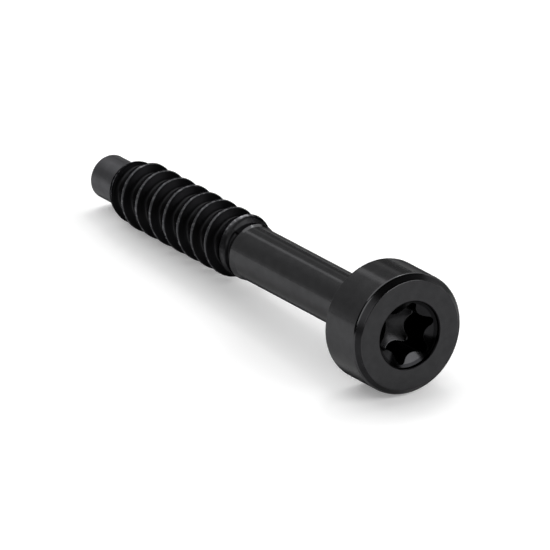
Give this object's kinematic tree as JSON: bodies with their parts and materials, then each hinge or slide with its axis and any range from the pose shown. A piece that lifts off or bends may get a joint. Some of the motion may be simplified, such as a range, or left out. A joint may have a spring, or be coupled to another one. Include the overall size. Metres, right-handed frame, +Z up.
{
  "type": "clamp screw",
  "caption": "Cylindrical-head clamp screw of blackened steel with a lobed drive socket, plain shank, coarse right-hand thread and plain dog point, for drawing a clamp together.",
  "frame": {"origin": "on the floor, below the middle of the screw as it lies at rest on the rear rim of its head and on a thread crest", "axes": "+Z up, +Y along the floor from the head towards the tip, +X to the right as seen from the head's end; the screw's axis slopes down towards the tip by 3.83 degrees"},
  "size_m": [0.011, 0.0492, 0.0113],
  "materials": {
    "blackened_steel": "black oxide, satin, lightly oiled"
  },
  "bodies": {
    "root": {"clamp_screw": "blackened_steel"}
  },
  "joints": []
}
